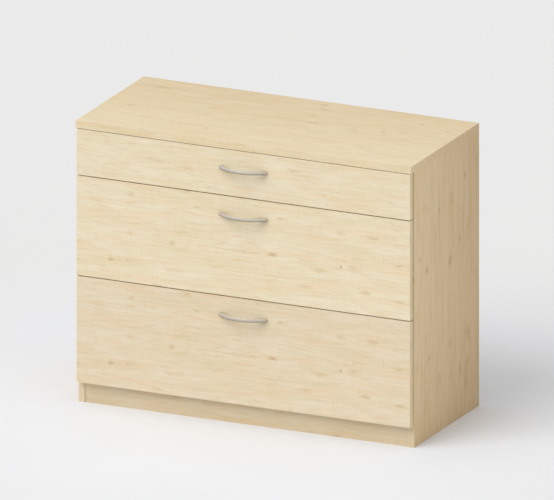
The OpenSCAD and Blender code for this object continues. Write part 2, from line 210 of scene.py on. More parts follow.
@dataclass(frozen=True)
class Grain:
    """One layer of soft marks that are longer one way than the other.

    A mark's size is its length and its width. The span is the noise levels at which the layer
    starts and is full, and the share is its strength where it is full. More detail gives the
    marks a more broken outline.
    """

    size_mm: Pair
    span: Pair
    share: float = 1.0
    detail: float = 3.0
    break_up: float = 0.55

    def draw(self, tree: Tree, place: Output) -> Output:
        """Draw the layer.

        Args:
            tree: The material's node tree.
            place: A point's place along the marks, across them and in depth.

        Returns:
            The layer's strength at that point.
        """
        along, across = (1 / (size * MM) for size in self.size_mm)
        stretched = add_node(
            tree, "ShaderNodeVectorMath", {0: place, 1: (along, across, across)},
            operation="MULTIPLY",
        )
        noise = add_node(
            tree, "ShaderNodeTexNoise",
            {"Vector": stretched.outputs[0], "Scale": 1.0, "Detail": self.detail,
             "Roughness": self.break_up},
        )
        return add_node(
            tree, "ShaderNodeMapRange",
            {"Value": noise.outputs[0], "From Min": self.span[0], "From Max": self.span[1],
             "To Max": self.share},
            interpolation_type="SMOOTHSTEP",
        ).outputs[0]


@dataclass(frozen=True)
class Texture:
    """What a fine texture does to a surface: the relief it stands in and how it turns the sheen.

    The sheen is what the texture adds to the finish's roughness at its lowest and its highest.
    """

    relief_mm: float
    strength: float
    sheen: Pair | None = None

    def sockets(self, tree: Tree, height: Output, roughness: float) -> Sockets:
        """Give the shader its roughness and its relief.

        Args:
            tree: The material's node tree.
            height: The texture, from 0 where it is lowest to 1 where it is highest.
            roughness: The finish's own roughness.

        Returns:
            What goes into the shader's two inputs.
        """
        relief = add_node(
            tree, "ShaderNodeBump",
            {"Strength": self.strength, "Distance": self.relief_mm * MM, "Height": height},
        ).outputs[0]
        if not self.sheen:
            return {"Roughness": roughness, "Normal": relief}
        low, high = (roughness + change for change in self.sheen)
        sheen = add_node(
            tree, "ShaderNodeMapRange", {"Value": height, "To Min": low, "To Max": high}
        ).outputs[0]
        return {"Roughness": sheen, "Normal": relief}


@dataclass(frozen=True)
class Sway:
    """How the printed grain lines waver: the size of a bend, and how far it shifts them."""

    size_mm: Pair
    reach_mm: Pair


@dataclass(frozen=True)
class Mark:
    """One knot or tan patch of the printed figure, placed from the middle of the board."""

    along_mm: float
    across_mm: float
    length_mm: float
    width_mm: float
    depth: float


@dataclass(frozen=True)
class Figure:
    """The part of the printed maple sheet that a board is cut from, with its tone.

    The tone multiplies the print; on the sides, the plinth and the lower front it paints shade.
    The back shade and the foot shade paint shade that deepens towards the back of a deep board
    and towards the foot of a tall one. The end shades paint the warmer, dimmer light and shade
    of faces turned to the sides on the ends of the top and the fronts, from front to back. The
    long edges take a tone of their own. The figure is broader by its spread where the sheet was
    printed so, and ribbons is the strength of the long straight streaks on such a sheet.
    """

    cut: Cut
    seed: float
    marks: tuple[Mark, ...] = ()
    tone: str = "#FFFFFF"
    # Painted shade: the tone that the face fades to at its back.
    back_shade: str = "#FFFFFF"
    edge_tone: str = "#FFFFFF"
    # Painted light and shade: the tones of the ends at their front and at their back.
    end_shades: tuple[str, str] = ("#FFFFFF", "#FFFFFF")
    # Painted shade: the tone that the face fades to at its foot, and its strength there.
    foot_shade: str | None = None
    foot_shade_strength: float = 0.2
    banding: Banding = Banding.LENGTHWISE
    spread: float = 1.0
    ribbons: float = 0.0


# Painted light: a faint warm tone on the fronts' ends, which face the sides.
FRONT_END_SHADE = ("#FFFAEF", "#FFFAEF")
FRONT_MARKS = (
    Mark(-140, 97, 17, 7, 0.55),
    Mark(113, 97, 17, 8, 0.60),
    Mark(60, 108, 60, 9, 0.16),
    Mark(290, 80, 24, 7, 0.40),
    Mark(-335, 82, 26, 9, 0.30),
    Mark(0, -9, 250, 6, 0.40),
    Mark(85, -8, 19, 7, 0.80),
    Mark(-213, -12, 17, 9, 0.60),
    Mark(-335, -2, 26, 12, 0.35),
    Mark(290, -14, 7, 7, 0.70),
    Mark(332, -13, 36, 18, 0.35),
    Mark(-396, -80, 15, 9, 0.75),
    Mark(-345, -78, 62, 10, 0.40),
    Mark(-207, -87, 44, 8, 0.40),
    Mark(85, -80, 40, 9, 0.35),
    Mark(183, -86, 42, 6, 0.45),
    Mark(365, -78, 26, 8, 0.60),
)
TOP_MARKS = (
    Mark(-410, 154, 40, 12, 0.55),
    Mark(-214, 43, 30, 8, 0.55),
    Mark(0, 40, 190, 6, 0.40),
    Mark(91, 32, 26, 8, 0.75),
    Mark(-352, -104, 34, 9, 0.40),
    Mark(-150, -130, 26, 9, 0.60),
    Mark(113, -122, 34, 11, 0.45),
    Mark(305, -110, 36, 10, 0.45),
    Mark(296, 43, 9, 6, 0.85),
    Mark(363, 145, 18, 9, 0.65),
    Mark(78, 152, 40, 11, 0.40),
    Mark(-170, 195, 44, 12, 0.40),
)
SIDE_MARKS = (
    Mark(289, 120, 14, 8, 0.80),
    Mark(250, 36, 46, 9, 0.50),
    Mark(258, -121, 20, 9, 0.40),
    Mark(132, 140, 46, 9, 0.60),
    Mark(121, 88, 16, 9, 0.60),
    Mark(75, 23, 34, 9, 0.75),
    Mark(131, -173, 18, 10, 0.50),
    Mark(89, -127, 22, 10, 0.60),
    Mark(-103, -134, 20, 9, 0.55),
    Mark(-159, 23, 22, 9, 0.55),
    Mark(-164, 140, 40, 9, 0.50),
    Mark(-252, 87, 30, 9, 0.60),
    Mark(-290, 126, 70, 12, 0.60),
)


@dataclass(frozen=True)
class MapleMelamine:
    """Chipboard faced with melamine that is printed with a maple figure, edges banded alike.

    The paper is pressed between satin plates, so the eye gets a pale, even, almost matt
    surface: fine streaks, tan drifts and a few small knots, with no depth and no gloss.
    Each Grain is one layer of the print, with its marks in their size on a real board.
    """

    ground: str = "#EBDEC1"
    drift: str = "#E2D2A8"
    blush: str = "#ECD0A8"
    cream: str = "#F1E7D0"
    streak: str = "#DAC599"
    tan: str = "#D6BB8A"
    knot: str = "#AE8C5A"
    seam: str = "#B39A70"
    drifts: Grain = Grain((230.0, 30.0), (0.38, 0.68), 0.50)
    blushes: Grain = Grain((150.0, 24.0), (0.44, 0.74), 0.50, 2.0)
    creams: Grain = Grain((110.0, 8.0), (0.42, 0.66), 0.34, 2.5)
    streaks: Grain = Grain((70.0, 4.6), (0.44, 0.68), 0.30)
    patches: Grain = Grain((60.0, 9.0), (0.56, 0.74), 0.36, 3.5)
    curls: Grain = Grain((9.0, 34.0), (0.55, 0.80), 0.25, 1.0)
    ribbons: Grain = Grain((420.0, 9.0), (0.42, 0.60), detail=1.5)
    pale_ribbons: Grain = Grain((310.0, 7.0), (0.40, 0.58), detail=1.5)
    fibres: Grain = Grain((14.0, 0.7), (0.35, 0.75))
    knot_fray: Grain = Grain((20.0, 2.6), (0.40, 0.62), detail=4.0)
    mark_fray: Grain = Grain((20.0, 2.6), (0.30, 0.60), detail=4.0)
    sways: tuple[Sway, ...] = (
        Sway((300.0, 70.0), (0.0, 14.0)),
        Sway((26.0, 9.0), (9.0, 2.5)),
    )
    # Boards whose seeds differ by 1 are cut this far apart on the sheet, in metres.
    seed_step: Point = (1.37, 0.71, 0.29)
    # The sheet is divided into cells. One whose random value lies above the limit has a pin
    # knot, full within the core. Its halo and its heart have a reach and a strength each.
    knot_cell_mm: Pair = (80.0, 26.0)
    knots_above: float = 0.86
    knot_core: float = 0.02
    halo: Pair = (0.45, 0.75)
    heart: Pair = (0.20, 0.45)
    # Where a placed mark's tan and its knot start and are full, and their strength.
    mark_tan: Point = (0.0, 0.45, 0.75)
    mark_knot: Point = (0.25, 0.8, 0.4)
    band_mm: float = 2.0
    seam_mm: Pair = (0.25, 0.05)
    seam_share: float = 0.25
    texture: Texture = Texture(0.03, 0.25, (-0.03, 0.06))
    ior: float = 1.5
    roughness: float = 0.46

    def make(self, node: str, figure: Figure) -> Material:
        """Make the finish for one board.

        Args:
            node: The board's name in the frame, which gives its middle and its size.
            figure: The board's cut and its part of the printed sheet.

        Returns:
            The material.
        """
        low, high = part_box(node)
        material, tree = new_material(f"maple_melamine_{node}")
        plain, sides = self._place(tree, figure, (low + high) / 2)
        place = self._waver(tree, plain, figure.seed, figure.spread)
        colour = self._sheet(tree, place, figure.ribbons)
        colour = self._knots(tree, colour, place)
        colour = self._marks(tree, colour, plain, figure)
        size = [(high - low)[axis.value] for axis in figure.cut.value]
        colour = lay_over(tree, colour, (self.seam, self._seam(tree, plain, sides[2], size)))
        # Painted shade: the board's tone darkens it towards its back, its foot and its ends.
        tone = self._tone(tree, plain, sides, size, figure)
        toned = add_node(
            tree, "ShaderNodeMix", {0: 1.0, 6: colour, 7: tone},
            data_type="RGBA", blend_type="MULTIPLY",
        ).outputs[2]
        fibres = self.fibres.draw(tree, place)
        show_surface(
            tree,
            {
                "Base Color": toned,
                "IOR": self.ior,
                **self.texture.sockets(tree, fibres, self.roughness),
            },
        )
        return material

    def _place(
        self, tree: Tree, figure: Figure, middle: Vector
    ) -> tuple[Output, tuple[Output, Output, Output]]:
        """Find where a point lies on its board, or in the banding of its ends.

        Args:
            tree: The material's node tree.
            figure: The board's cut and banding.
            middle: The middle of the board in the frame.

        Returns:
            The place along the grain, across it and in depth, and three outputs that are 1 on
            the board's ends, on its long edges and on its printed faces.
        """
        grain, width, depth = (axis.value for axis in figure.cut.value)
        upright = figure.banding is Banding.UPRIGHT
        space = add_node(tree, "ShaderNodeTexCoord")
        centred = add_node(
            tree, "ShaderNodeVectorMath", {0: space.outputs["Object"], 1: middle},
            operation="SUBTRACT",
        )
        spot = add_node(tree, "ShaderNodeSeparateXYZ", {0: centred.outputs[0]}).outputs
        facing = add_node(
            tree, "ShaderNodeVectorMath", {0: space.outputs["Normal"]}, operation="ABSOLUTE"
        )
        facing = add_node(tree, "ShaderNodeSeparateXYZ", {0: facing.outputs[0]}).outputs
        on_end, on_edge, on_face = (
            add_node(
                tree, "ShaderNodeMath", {0: facing[axis], 1: LOOKS_ALONG},
                operation="GREATER_THAN",
            ).outputs[0]
            for axis in (grain, width, depth)
        )
        board = add_node(
            tree, "ShaderNodeCombineXYZ", {0: spot[grain], 1: spot[width], 2: spot[depth]}
        )
        along, across = (depth, width) if upright else (width, depth)
        end = add_node(
            tree, "ShaderNodeCombineXYZ", {0: spot[along], 1: spot[across], 2: spot[grain]}
        )
        place = add_node(
            tree, "ShaderNodeMix",
            {0: on_end, 4: board.outputs[0], 5: end.outputs[0]}, data_type="VECTOR",
        )
        return place.outputs[1], (on_end, on_edge, on_face)

    def _waver(self, tree: Tree, place: Output, seed: float, spread: float = 1.0) -> Output:
        """Shift the board to its part of the sheet and let the grain lines waver.

        Args:
            tree: The material's node tree.
            place: The place on the board.
            seed: The number of that part of the sheet.
            spread: How much broader the figure is than usual.

        Returns:
            The place on the printed sheet.
        """
        shift = tuple(seed * step for step in self.seed_step)
        on_sheet = add_node(
            tree, "ShaderNodeVectorMath",
            {0: place, 1: (1.0, 1 / spread, 1 / spread), 2: shift},
            operation="MULTIPLY_ADD",
        ).outputs[0]
        for sway in self.sways:
            along, across = (1 / (size * MM) for size in sway.size_mm)
            lengthwise, sideways = (reach * MM for reach in sway.reach_mm)
            stretched = add_node(
                tree, "ShaderNodeVectorMath", {0: on_sheet, 1: (along, across, across)},
                operation="MULTIPLY",
            )
            noise = add_node(
                tree, "ShaderNodeTexNoise",
                {"Vector": stretched.outputs[0], "Scale": 1.0, "Detail": 1.0},
            )
            centred = add_node(
                tree, "ShaderNodeVectorMath", {0: noise.outputs["Color"], 1: (0.5, 0.5, 0.5)},
                operation="SUBTRACT",
            )
            on_sheet = add_node(
                tree, "ShaderNodeVectorMath",
                {0: centred.outputs[0], 1: (lengthwise, sideways, 0.0), 2: on_sheet},
                operation="MULTIPLY_ADD",
            ).outputs[0]
        return on_sheet

    def _sheet(self, tree: Tree, place: Output, ribbons: float) -> Output:
        """Print the pale ground with its drifts, streaks, tan patches and faint curl.

        Args:
            tree: The material's node tree.
            place: The place on the printed sheet.
            ribbons: The strength of the long straight streaks.

        Returns:
            The sheet's colour.
        """
        spot = add_node(tree, "ShaderNodeSeparateXYZ", {0: place}).outputs
        flat_place = add_node(
            tree, "ShaderNodeCombineXYZ", {0: spot[0], 1: spot[1], 2: 0.0}
        ).outputs[0]
        layers = [
            (tint, grain.draw(tree, place))
            for tint, grain in (
                (self.drift, self.drifts),
                (self.blush, self.blushes),
                (self.cream, self.creams),
                (self.streak, self.streaks),
                (self.tan, self.patches),
            )
        ]
        layers += [
            (self.streak, self.curls.draw(tree, flat_place)),
            (self.streak, replace(self.ribbons, share=ribbons).draw(tree, place)),
            (self.cream, replace(self.pale_ribbons, share=ribbons).draw(tree, place)),
        ]
        return lay_over(tree, linear(self.ground), *layers)

    def _knots(self, tree: Tree, colour: Output, place: Output) -> Output:
        """Scatter small pin knots, each in a longer tan halo, over about a seventh of the sheet.

        Args:
            tree: The material's node tree.
            colour: The sheet's colour.
            place: The place on the printed sheet.

        Returns:
            The colour with its knots.
        """
        along, across = (1 / (size * MM) for size in self.knot_cell_mm)
        cells = add_node(
            tree, "ShaderNodeVectorMath", {0: place, 1: (along, across, across)},
            operation="MULTIPLY",
        )
        knot = add_node(
            tree, "ShaderNodeTexVoronoi", {"Vector": cells.outputs[0], "Scale": 1.0},
            voronoi_dimensions="2D",
        )
        pick = add_node(tree, "ShaderNodeSeparateColor", {0: knot.outputs["Color"]})
        fray = self.knot_fray.draw(tree, place)
        for tint, (reach, share) in ((self.tan, self.halo), (self.knot, self.heart)):
            chosen = add_node(
                tree, "ShaderNodeMapRange",
                {"Value": pick.outputs[0], "From Min": self.knots_above, "From Max": 1.0,
                 "To Max": share},
            )
            chosen = add_node(
                tree, "ShaderNodeMath", {0: chosen.outputs[0], 1: fray}, operation="MULTIPLY"
            )
            strength = add_node(
                tree, "ShaderNodeMapRange",
                {"Value": knot.outputs["Distance"], "From Min": reach,
                 "From Max": self.knot_core, "To Max": chosen.outputs[0]},
                interpolation_type="SMOOTHSTEP",
            )
            colour = lay_over(tree, colour, (tint, strength.outputs[0]))
        return colour

    def _marks(self, tree: Tree, colour: Output, place: Output, figure: Figure) -> Output:
        """Add the larger knots and tan patches, each at its own place with soft tails.

        Args:
            tree: The material's node tree.
            colour: The sheet's colour.
            place: The place on the board, from its middle.
            figure: The board's knots and patches, and how broad they are.

        Returns:
            The colour with its marks.
        """
        if not figure.marks:
            return colour
        ragged = self._waver(tree, place, 0.0)
        total: object = 0.0
        for mark in figure.marks:
            half = (mark.length_mm * MM, mark.width_mm * figure.spread * MM)
            centre = (mark.along_mm * MM, mark.across_mm * MM)
            spot = add_node(
                tree, "ShaderNodeMapping",
                {
                    "Vector": ragged,
                    "Location": (-centre[0] / half[0], -centre[1] / half[1], 0.0),
                    "Scale": (1 / half[0], 1 / half[1], 0.0),
                },
            )
            soft = add_node(
                tree, "ShaderNodeTexGradient", {0: spot.outputs[0]}, gradient_type="SPHERICAL"
            )
            total = add_node(
                tree, "ShaderNodeMath", {0: soft.outputs["Fac"], 1: mark.depth, 2: total},
                operation="MULTIPLY_ADD",
            ).outputs[0]
        fray = self.mark_fray.draw(tree, place)
        total = add_node(
            tree, "ShaderNodeMath", {0: total, 1: fray}, operation="MULTIPLY"
        ).outputs[0]
        for tint, (start, full, share) in (
            (self.tan, self.mark_tan),
            (self.knot, self.mark_knot),
        ):
            strength = add_node(
                tree, "ShaderNodeMapRange",
                {"Value": total, "From Min": start, "From Max": full, "To Max": share},
                interpolation_type="SMOOTHSTEP",
            )
            colour = lay_over(tree, colour, (tint, strength.outputs[0]))
        return colour

    def _tone(
        self,
        tree: Tree,
        place: Output,
        sides: tuple[Output, Output, Output],
        size: list[float],
        figure: Figure,
    ) -> Output:
        """Paint shade towards the back and foot, light and shade on the ends, and tone the
        edges.

        Args:
            tree: The material's node tree.
            place: The place on the board, from its middle.
            sides: Outputs that are 1 on the ends, on the long edges and on the faces.
            size: The board's size along the grain, across it and in depth.
            figure: The tones and painted shades of the board.

        Returns:
            The tone and painted shade that multiply the sheet's colour.
        """
        spot = add_node(tree, "ShaderNodeSeparateXYZ", {0: place}).outputs
        back = add_node(
            tree, "ShaderNodeMapRange",
            {"Value": spot[1], "From Min": -size[1] / 2, "From Max": size[1] / 2},
        ).outputs[0]
        # Painted shade: the faces darken towards the back, then towards the foot.
        tone = lay_over(tree, linear(figure.tone), (figure.back_shade, back))
        if figure.foot_shade:
            foot = add_node(
                tree, "ShaderNodeMapRange",
                {"Value": spot[0], "From Min": 0.0, "From Max": -size[0] / 2,
                 "To Max": figure.foot_shade_strength},
            ).outputs[0]
            tone = lay_over(tree, tone, (figure.foot_shade, foot))
        # Painted light and shade on the ends, from front to back.
        end_shade = lay_over(tree, linear(figure.end_shades[0]), (figure.end_shades[1], back))
        tone = add_node(
            tree, "ShaderNodeMix", {0: sides[0], 6: tone, 7: end_shade}, data_type="RGBA"
        ).outputs[2]
        return lay_over(tree, tone, (figure.edge_tone, sides[1]))

    def _seam(self, tree: Tree, place: Output, on_face: Output, size: list[float]) -> Output:
        """Draw the hairline between the printed face and the 2 mm edge banding.

        Args:
            tree: The material's node tree.
            place: The place on the board, from its middle.
            on_face: 1 on the printed faces.
            size: The board's size along the grain, across it and in depth.

        Returns:
            The strength of the line.
        """
        away = add_node(tree, "ShaderNodeVectorMath", {0: place}, operation="ABSOLUTE")
        inside = add_node(
            tree, "ShaderNodeVectorMath",
            {0: (size[0] / 2, size[1] / 2, 0.0), 1: away.outputs[0]}, operation="SUBTRACT",
        )
        inside = add_node(tree, "ShaderNodeSeparateXYZ", {0: inside.outputs[0]}).outputs
        nearest = add_node(
            tree, "ShaderNodeMath", {0: inside[0], 1: inside[1]}, operation="MINIMUM"
        )
        from_line = add_node(
            tree, "ShaderNodeMath", {0: nearest.outputs[0], 1: self.band_mm * MM},
            operation="SUBTRACT",
        )
        from_line = add_node(
            tree, "ShaderNodeMath", {0: from_line.outputs[0]}, operation="ABSOLUTE"
        )
        line = add_node(
            tree, "ShaderNodeMapRange",
            {"Value": from_line.outputs[0], "From Min": self.seam_mm[0] * MM,
             "From Max": self.seam_mm[1] * MM, "To Max": self.seam_share},
        )
        return add_node(
            tree, "ShaderNodeMath", {0: line.outputs[0], 1: on_face}, operation="MULTIPLY"
        ).outputs[0]


@dataclass(frozen=True)
class BoxMelamine:
    """Chipboard faced with plain light-grey melamine, pressed with a fine pearl texture.

    The eye gets a clean, matt, slightly pebbled surface with no grain, as inside drawers.
    """

    face: str = "#E3E0D8"
    cloud: str = "#D9D6CD"
    clouds: Grain = Grain((160.0, 160.0), (0.35, 0.7), 0.6)
    pearls: Grain = Grain((1.1, 1.1), (0.3, 0.7), detail=1.0)
    texture: Texture = Texture(0.05, 0.3)
    ior: float = 1.5
    roughness: float = 0.55

    def make(self) -> Material:
        """Make the finish that all the drawer box boards share."""
        material, tree = new_material("box_melamine")
        place = local_place(tree)
        clouds = self.clouds.draw(tree, place)
        pearls = self.pearls.draw(tree, place)
        show_surface(
            tree,
            {
                "Base Color": lay_over(tree, linear(self.face), (self.cloud, clouds)),
                "IOR": self.ior,
                **self.texture.sockets(tree, pearls, self.roughness),
            },
        )
        return material


@dataclass(frozen=True)
class SatinNickel:
    """Die-cast zinc, brushed, then nickel plated and lacquered matt.

    The matting in the lacquer scatters part of the light, so the eye gets a pale silver bar
    that is light all along its face. Where the bar faces down its colour is darkened, a painted
    shade.
    """

    metal: str = "#CEC7B9"
    shade: str = "#BBB4A6"
    # Painted shade: the dark grey laid where the bar faces down, and the range of downward
    # normals over which it comes in.
    cast: str = "#7F7764"
    under: Pair = (-0.05, -0.60)
    # Real brush lines are about 0.1 mm wide. These are coarser, so that they show close by.
    brushing: Grain = Grain((38.0, 0.45), (0.3, 0.7), detail=2.0)
    texture: Texture = Texture(0.02, 0.2, (-0.04, 0.06))
    metallic: float = 0.5
    roughness: float = 0.56

    def make(self) -> Material:
        """Make the finish that the three handles share."""
        material, tree = new_material("satin_nickel")
        brushing = self.brushing.draw(tree, local_place(tree, (Axis.X, Axis.Z, Axis.Y)))
        facing = add_node(tree, "ShaderNodeTexCoord").outputs["Normal"]
        facing_up = add_node(tree, "ShaderNodeSeparateXYZ", {0: facing}).outputs[2]
        # Painted shade: darker where the bar faces down.
        underside_shade = add_node(
            tree, "ShaderNodeMapRange",
            {"Value": facing_up, "From Min": self.under[0], "From Max": self.under[1]},
            interpolation_type="SMOOTHSTEP",
        ).outputs[0]
        show_surface(
            tree,
            {
                "Base Color": lay_over(
                    tree, linear(self.metal), (self.shade, brushing), (self.cast, underside_shade)
                ),
                "Metallic": self.metallic,
                **self.texture.sockets(tree, brushing, self.roughness),
            },
        )
        return material


@dataclass(frozen=True)
class ZincPlatedSteel:
    """Cold-rolled steel, bright zinc plated, as on runners, rails and screws.

    The eye gets a cool grey metal with fine rolling lines and a faint yellow-blue drift.
    """

    name: str = "zinc_plated_steel"
    metal: str = "#C6CACD"
    drift: str = "#C9C5B4"
    drifts: Grain = Grain((70.0, 24.0), (0.4, 0.7), 0.7)
    # Real rolling lines are about 0.1 mm wide. These are coarser, so that they show close by.
    lines: Grain = Grain((60.0, 0.5), (0.3, 0.7), detail=2.0)
    lines_along: Axis = Axis.Y
    texture: Texture = Texture(0.02, 0.2, (-0.05, 0.08))
    roughness: float = 0.30

    def make(self) -> Material:
        """Make the finish for the steel pieces whose rolling lines run the same way."""
        material, tree = new_material(self.name)
        others = [axis for axis in Axis if axis is not self.lines_along]
        place = local_place(tree, (self.lines_along, *others))
        drifts = self.drifts.draw(tree, place)
        lines = self.lines.draw(tree, place)
        show_surface(
            tree,
            {
                "Base Color": lay_over(tree, linear(self.metal), (self.drift, drifts)),
                "Metallic": 1.0,
                **self.texture.sockets(tree, lines, self.roughness),
            },
        )
        return material


@dataclass(frozen=True)
class DieCastZinc:
    """Zinc alloy as it comes from the die, tumbled, as on cam locks.

    The eye gets a dull mid-grey metal with a fine even bloom.
    """

    metal: str = "#A3A5A8"
    bloom: str = "#8F9194"
    blooms: Grain = Grain((1.6, 1.6), (0.35, 0.65), 0.8)
    texture: Texture = Texture(0.04, 0.3)
    roughness: float = 0.52

    def make(self) -> Material:
        """Make the finish that the cam locks share."""
        material, tree = new_material("die_cast_zinc")
        blooms = self.blooms.draw(tree, local_place(tree))
        show_surface(
            tree,
            {
                "Base Color": lay_over(tree, linear(self.metal), (self.bloom, blooms)),
                "Metallic": 1.0,
                **self.texture.sockets(tree, blooms, self.roughness),
            },
        )
        return material


@dataclass(frozen=True)
class Beech:
    """Raw beech, turned and fluted into dowels.

    The eye gets a pinkish-tan matt wood with short darker ray flecks along the grain.
    """

    wood: str = "#CDAA7C"
    ray: str = "#A97F52"
    rays: Grain = Grain((3.2, 0.5), (0.5, 0.75), 0.7, 2.0)
    texture: Texture = Texture(0.05, 0.3)
    ior: float = 1.5
    roughness: float = 0.65

    def make(self) -> Material:
        """Make the finish that the dowels share."""
        material, tree = new_material("raw_beech")
        rays = self.rays.draw(tree, local_place(tree))
        show_surface(
            tree,
            {
                "Base Color": lay_over(tree, linear(self.wood), (self.ray, rays)),
                "IOR": self.ior,
                **self.texture.sockets(tree, rays, self.roughness),
            },
        )
        return material


@dataclass(frozen=True)
class StudioFloor:
    """Painted plaster floor, rolled matt white.

    The eye gets a pale ground that carries the chest's soft shadow. Its tone is painted a
    little greyer away from the chest, as a painted falloff of the light.
    """

    paint: str = "#ECEEF2"
    cloud: str = "#E4E6EB"
    # Painted shade: the grey the floor fades to away from the chest, between these distances.
    far: str = "#E8E8E8"
    falloff_from: Pair = (0.7, 1.5)
    clouds: Grain = Grain((900.0, 900.0), (0.35, 0.7), 0.4)
    specular: float = 0.1
    roughness: float = 0.9

    def make(self) -> Material:
        """Make the floor's finish."""
        material, tree = new_material("matt_white_paint")
        place = local_place(tree)
        clouds = self.clouds.draw(tree, place)
        # Painted falloff of light: greyer with distance from the chest.
        reach = add_node(tree, "ShaderNodeVectorMath", {0: place}, operation="LENGTH")
        away = add_node(
            tree, "ShaderNodeMapRange",
            {"Value": reach.outputs["Value"], "From Min": self.falloff_from[0],
             "From Max": self.falloff_from[1]},
            interpolation_type="SMOOTHSTEP",
        ).outputs[0]
        show_surface(
            tree,
            {
                "Base Color": lay_over(
                    tree, linear(self.paint), (self.cloud, clouds), (self.far, away)
                ),
                "Roughness": self.roughness,
                "Specular IOR Level": self.specular,
            },
        )
        return material


def finish_node(node: str, material: Material) -> None:
    """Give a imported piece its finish.

    Args:
        node: The piece's name in the frame.
        material: Its finish.
    """
    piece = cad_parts[node]
    if not piece.material_slots:
        piece.data.materials.append(material)
    for held in piece.material_slots:
        held.material = material
    log.info("finished %s in %s", node, material.name)


@dataclass
class Handle:
    """One bow handle: a rounded bar that swells from the middle of the bow to its two feet.

    The bar's outline is a superellipse. Its outer power makes the face round and its inner
    one keeps the back almost flat. The tips end in a fine upright edge.
    """

    level: Level
    length_mm: float = 144.9
    pitch_mm: float = 128.0
    out_mm: float = 31.9
    height_mm: float = 10.0
    bow_mm: float = 6.0
    tip_mm: float = 5.0
    foot_mm: float = 8.0
    fillet_mm: float = 1.4
    tip_edge_mm: float = 0.01
    outer_power: float = 2.6
    inner_power: float = 5.0
    stations: int = 72
    ring: int = 28

    def _arc(self, half: float, rise: float, x: float) -> float:
        """Height of an arc above its chord.

        Args:
            half: Half the chord.
            rise: The arc's height in its middle.
            x: Distance from the middle.

        Returns:
            The height at x, below zero past the chord's ends.
        """
        radius = (half * half + rise * rise) / (2 * rise)
        return sqrt(max(0.0, radius * radius - x * x)) - (radius - rise)

    def _section(self, x: float) -> list[Pair]:
        """Outline of the bar at one station.

        Args:
            x: Distance from the middle of the handle, in mm.

        Returns:
            Points as distance out from the front and height, in mm.
        """
        outer = self.tip_mm + self._arc(self.length_mm / 2, self.out_mm - self.tip_mm, x)
        hollow = self._arc(self.pitch_mm / 2 - self.foot_mm, self.out_mm - self.bow_mm, x)
        inner = (hollow + sqrt(hollow * hollow + self.fillet_mm ** 2)) / 2
        round_r = self.height_mm / 2
        past = max(0.0, abs(x) - (self.length_mm / 2 - round_r)) / round_r
        tall = round_r * sqrt(max(0.0, 1 - past * past)) + self.tip_edge_mm
        middle, deep = (outer + inner) / 2, (outer - inner) / 2
        points = []
        for step in range(self.ring):
            turn = 2 * pi * (step + 0.5) / self.ring
            out, up = cos(turn), sin(turn)
            power = 2 / (self.outer_power if out > 0 else self.inner_power)
            points.append((
                middle + deep * abs(out) ** power * (1 if out > 0 else -1),
                tall * abs(up) ** power * (1 if up > 0 else -1),
            ))
        return points

    def build(self) -> bpy.types.Object:
        """Loft the bar through its stations, closer together towards the tips.

        Returns:
            The handle, in place on its front.
        """
        low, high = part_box(f"{self.level.value}_handle")
        face, mid_z = high.y, (low.z + high.z) / 2
        made = bmesh.new()
        rings = []
        for step in range(self.stations + 1):
            x = -cos(pi * step / self.stations) * self.length_mm / 2
            rings.append([
                made.verts.new((x * MM, face - out * MM, mid_z + up * MM))
                for out, up in self._section(x)
            ])
        for near, far in zip(rings, rings[1:]):
            for i in range(self.ring):
                j = (i + 1) % self.ring
                made.faces.new((near[i], near[j], far[j], far[i]))
        made.faces.new(rings[0])
        made.faces.new(rings[-1][::-1])
        bmesh.ops.recalc_face_normals(made, faces=made.faces)
        mesh = bpy.data.meshes.new(f"{self.level.value}_bow_handle")
        made.to_mesh(mesh)
        made.free()
        mesh.shade_smooth()
        handle = bpy.data.objects.new(f"{self.level.value}_bow_handle", mesh)
        bpy.context.scene.collection.objects.link(handle)
        return handle

    def dress(self, handle: bpy.types.Object, finish: Material) -> None:
        """Plate the handle and fix it to its drawer.

        Args:
            handle: The handle.
            finish: Its satin nickel.
        """
        handle.data.materials.append(finish)
        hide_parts(f"{self.level.value}_handle")
        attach(handle, f"{self.level.value}_drawer")
        log.info("built %s", handle.name)


@dataclass
class Hardware:
    """The finishes of the metal and wood fittings, made once and shared."""

    nickel: Material = field(default_factory=SatinNickel().make)
    drawn: Material = field(default_factory=ZincPlatedSteel().make)
    rolled: Material = field(
        default_factory=ZincPlatedSteel(
            name="zinc_plated_rail", lines_along=Axis.X, roughness=0.34
        ).make
    )
    screws: Material = field(
        default_factory=ZincPlatedSteel(
            name="zinc_plated_screw",
            metal="#D0D2D3",
            lines=Grain((3.0, 0.4), (0.3, 0.7), detail=2.0),
            roughness=0.24,
        ).make
    )
    cast: Material = field(default_factory=DieCastZinc().make)
    beech: Material = field(default_factory=Beech().make)


